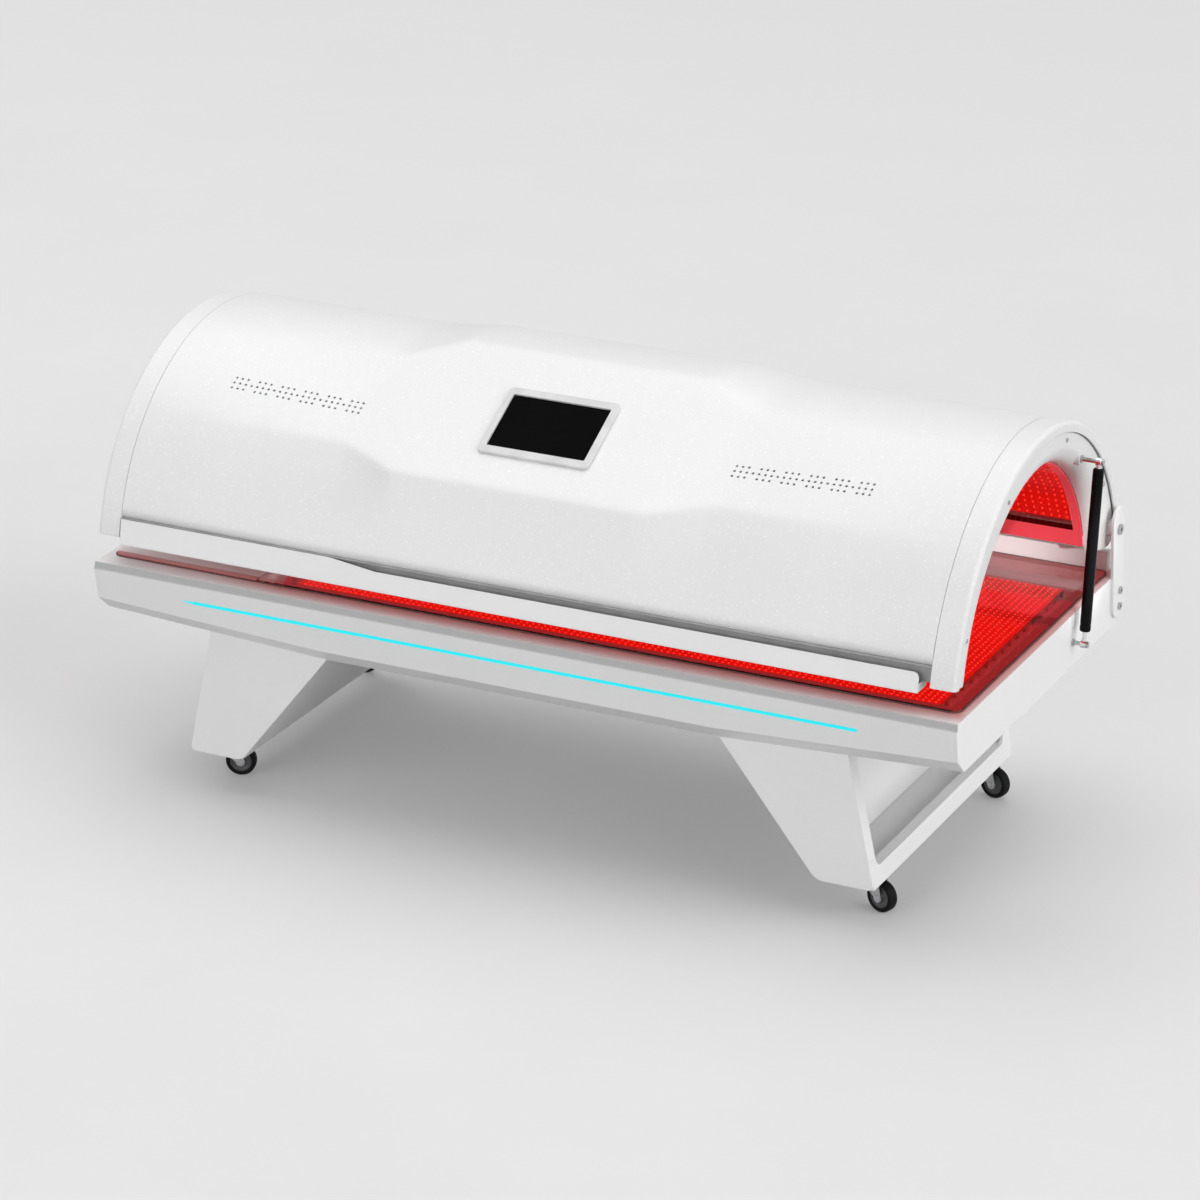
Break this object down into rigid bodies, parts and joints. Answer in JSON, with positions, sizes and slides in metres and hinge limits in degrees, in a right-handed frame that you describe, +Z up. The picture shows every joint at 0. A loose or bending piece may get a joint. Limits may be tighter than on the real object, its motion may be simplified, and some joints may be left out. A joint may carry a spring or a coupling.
{
  "type": "red light therapy bed",
  "caption": "Full-body light bed with a hinged half-barrel canopy on gas struts over a lit clear deck, on splayed sheet legs with braked swivel castors.",
  "frame": {"origin": "on the floor, under the middle of the bed", "axes": "+X along the bed from the head end, +Y to the hinge side, +Z up"},
  "size_m": [2.282, 1.056, 1.0908],
  "materials": {
    "white_coat": "satin white powder coat with a fine grain",
    "white_moulding": "satin white moulding",
    "frame_steel": "pale grey coated steel",
    "led_board": "circuit board with rows of lit red lamps",
    "heatsink": "plain extruded",
    "clear_acrylic": "clear polished sheet",
    "tinted_acrylic": "clear polished sheet with a frosted back",
    "seal_rubber": "matt",
    "accent_lens": "lit lens",
    "supply_case": "plain folded sheet",
    "black_plastic": "fine grain",
    "bright_steel": "polished",
    "strut_black": "gloss black",
    "rod_chrome": "ground and plated",
    "castor_steel": "zinc plated",
    "pedal_plastic": "moulded",
    "castor_tread": "moulded tread",
    "bezel_plastic": "satin white frame",
    "screen_glass": "dark polished touch panel"
  },
  "bodies": {
    "base": {"base_casing": "white_coat", "end_panel_left": "white_coat", "end_panel_right": "white_coat", "rear_rail": "white_coat", "hinge_bracket_left": "white_coat", "hinge_bracket_right": "white_coat", "leg_left_front_plate": "white_coat", "leg_left_rear_plate": "white_coat", "leg_left_web": "white_coat", "leg_left_foot": "white_coat", "leg_right_front_plate": "white_coat", "leg_right_rear_plate": "white_coat", "leg_right_web": "white_coat", "leg_right_foot": "white_coat", "base_frame": "frame_steel", "bed_led_boards": "led_board", "bed_heatsinks": "heatsink", "deck_acrylic": "clear_acrylic", "head_acrylic": "tinted_acrylic", "deck_seal": "seal_rubber", "accent_light": "accent_lens", "power_supplies": "supply_case", "mains_inlet": "black_plastic", "hinge_bolts": "bright_steel", "strut_lower_studs": "bright_steel", "castor_plates": "castor_steel"},
    "canopy": {"canopy_shell": "white_moulding", "canopy_ring_left": "white_moulding", "canopy_ring_right": "white_moulding", "end_cover_left": "white_moulding", "end_cover_right": "white_moulding", "grab_rail": "white_moulding", "canopy_frame": "frame_steel", "canopy_beams": "frame_steel", "canopy_led_boards": "led_board", "canopy_liner": "clear_acrylic", "canopy_screws": "bright_steel", "strut_upper_studs": "bright_steel", "screen_bezel": "bezel_plastic", "touchscreen": "screen_glass", "canopy_fan_frames": "black_plastic"},
    "strut_rod_left": {"strut_rod_left": "rod_chrome"},
    "strut_cylinder_left": {"strut_cylinder_left": "strut_black"},
    "strut_rod_right": {"strut_rod_right": "rod_chrome"},
    "strut_cylinder_right": {"strut_cylinder_right": "strut_black"},
    "castor_fork_fl": {"castor_fork_fl": "castor_steel"},
    "castor_wheel_fl": {"castor_wheel_fl": "castor_tread"},
    "castor_pedal_fl": {"castor_pedal_fl": "pedal_plastic"},
    "castor_fork_fr": {"castor_fork_fr": "castor_steel"},
    "castor_wheel_fr": {"castor_wheel_fr": "castor_tread"},
    "castor_pedal_fr": {"castor_pedal_fr": "pedal_plastic"},
    "castor_fork_rl": {"castor_fork_rl": "castor_steel"},
    "castor_wheel_rl": {"castor_wheel_rl": "castor_tread"},
    "castor_pedal_rl": {"castor_pedal_rl": "pedal_plastic"},
    "castor_fork_rr": {"castor_fork_rr": "castor_steel"},
    "castor_wheel_rr": {"castor_wheel_rr": "castor_tread"},
    "castor_pedal_rr": {"castor_pedal_rr": "pedal_plastic"},
    "power_rocker": {"power_rocker": "black_plastic"},
    "canopy_fan_left": {"canopy_fan_rotor_left": "black_plastic"},
    "canopy_fan_right": {"canopy_fan_rotor_right": "black_plastic"}
  },
  "joints": [
    {"name": "canopy_hinge", "type": "hinge", "parent": "base", "child": "canopy", "pos_m": [0, 0.459, 0.688], "axis": [-1, 0, 0], "range_deg": [0, 50]},
    {"name": "strut_rod_pivot_left", "type": "hinge", "parent": "base", "child": "strut_rod_left", "pos_m": [-1.128, 0.19, 0.5], "axis": [-1, 0, 0], "range_deg": [0, 25]},
    {"name": "strut_cylinder_pivot_left", "type": "hinge", "parent": "canopy", "child": "strut_cylinder_left", "pos_m": [-1.128, 0.23898, 0.93151], "axis": [1, 0, 0], "range_deg": [0, 25]},
    {"name": "strut_rod_pivot_right", "type": "hinge", "parent": "base", "child": "strut_rod_right", "pos_m": [1.128, 0.19, 0.5], "axis": [-1, 0, 0], "range_deg": [0, 25]},
    {"name": "strut_cylinder_pivot_right", "type": "hinge", "parent": "canopy", "child": "strut_cylinder_right", "pos_m": [1.128, 0.23898, 0.93151], "axis": [1, 0, 0], "range_deg": [0, 25]},
    {"name": "castor_swivel_fl", "type": "hinge", "parent": "base", "child": "castor_fork_fl", "pos_m": [-0.845, -0.34758, 0.09], "axis": [0, 0, 1], "continuous": true},
    {"name": "castor_roll_fl", "type": "hinge", "parent": "castor_fork_fl", "child": "castor_wheel_fl", "pos_m": [-0.82433, -0.34005, 0.0375], "axis": [-0.342, 0.9397, 0], "continuous": true},
    {"name": "castor_brake_fl", "type": "hinge", "parent": "castor_fork_fl", "child": "castor_pedal_fl", "pos_m": [-0.8591, -0.35271, 0.073], "axis": [0.342, -0.9397, 0], "range_deg": [0, 12]},
    {"name": "castor_swivel_fr", "type": "hinge", "parent": "base", "child": "castor_fork_fr", "pos_m": [0.845, -0.34758, 0.09], "axis": [0, 0, 1], "continuous": true},
    {"name": "castor_roll_fr", "type": "hinge", "parent": "castor_fork_fr", "child": "castor_wheel_fr", "pos_m": [0.8658, -0.35474, 0.0375], "axis": [0.3256, 0.9455, 0], "continuous": true},
    {"name": "castor_brake_fr", "type": "hinge", "parent": "castor_fork_fr", "child": "castor_pedal_fr", "pos_m": [0.83082, -0.3427, 0.073], "axis": [-0.3256, -0.9455, 0], "range_deg": [0, 12]},
    {"name": "castor_swivel_rl", "type": "hinge", "parent": "base", "child": "castor_fork_rl", "pos_m": [-0.845, 0.34758, 0.09], "axis": [0, 0, 1], "continuous": true},
    {"name": "castor_roll_rl", "type": "hinge", "parent": "castor_fork_rl", "child": "castor_wheel_rl", "pos_m": [-0.86625, 0.35327, 0.0375], "axis": [-0.2588, -0.9659, 0], "continuous": true},
    {"name": "castor_brake_rl", "type": "hinge", "parent": "castor_fork_rl", "child": "castor_pedal_rl", "pos_m": [-0.83051, 0.3437, 0.073], "axis": [0.2588, 0.9659, 0], "range_deg": [0, 12]},
    {"name": "castor_swivel_rr", "type": "hinge", "parent": "base", "child": "castor_fork_rr", "pos_m": [0.845, 0.34758, 0.09], "axis": [0, 0, 1], "continuous": true},
    {"name": "castor_roll_rr", "type": "hinge", "parent": "castor_fork_rr", "child": "castor_wheel_rr", "pos_m": [0.86625, 0.34188, 0.0375], "axis": [0.2588, 0.9659, 0], "continuous": true},
    {"name": "castor_brake_rr", "type": "hinge", "parent": "castor_fork_rr", "child": "castor_pedal_rr", "pos_m": [0.83051, 0.35146, 0.073], "axis": [-0.2588, -0.9659, 0], "range_deg": [0, 12]},
    {"name": "power_rocker", "type": "hinge", "parent": "base", "child": "power_rocker", "pos_m": [-1.098, 0.3, 0.507], "axis": [0, 1, 0], "range_deg": [0, 12]},
    {"name": "canopy_fan_spin_left", "type": "hinge", "parent": "canopy", "child": "canopy_fan_left", "pos_m": [-0.677, -0.25041, 0.92659], "axis": [0, -0.481, 0.8767], "continuous": true},
    {"name": "canopy_fan_spin_right", "type": "hinge", "parent": "canopy", "child": "canopy_fan_right", "pos_m": [0.617, -0.25041, 0.92659], "axis": [0, -0.481, 0.8767], "continuous": true}
  ],
  "couplings": [
    {"joint": "strut_rod_pivot_left", "follows": "canopy_hinge", "ratio": 0.5},
    {"joint": "strut_cylinder_pivot_left", "follows": "canopy_hinge", "ratio": 0.5},
    {"joint": "strut_rod_pivot_right", "follows": "canopy_hinge", "ratio": 0.5},
    {"joint": "strut_cylinder_pivot_right", "follows": "canopy_hinge", "ratio": 0.5}
  ]
}
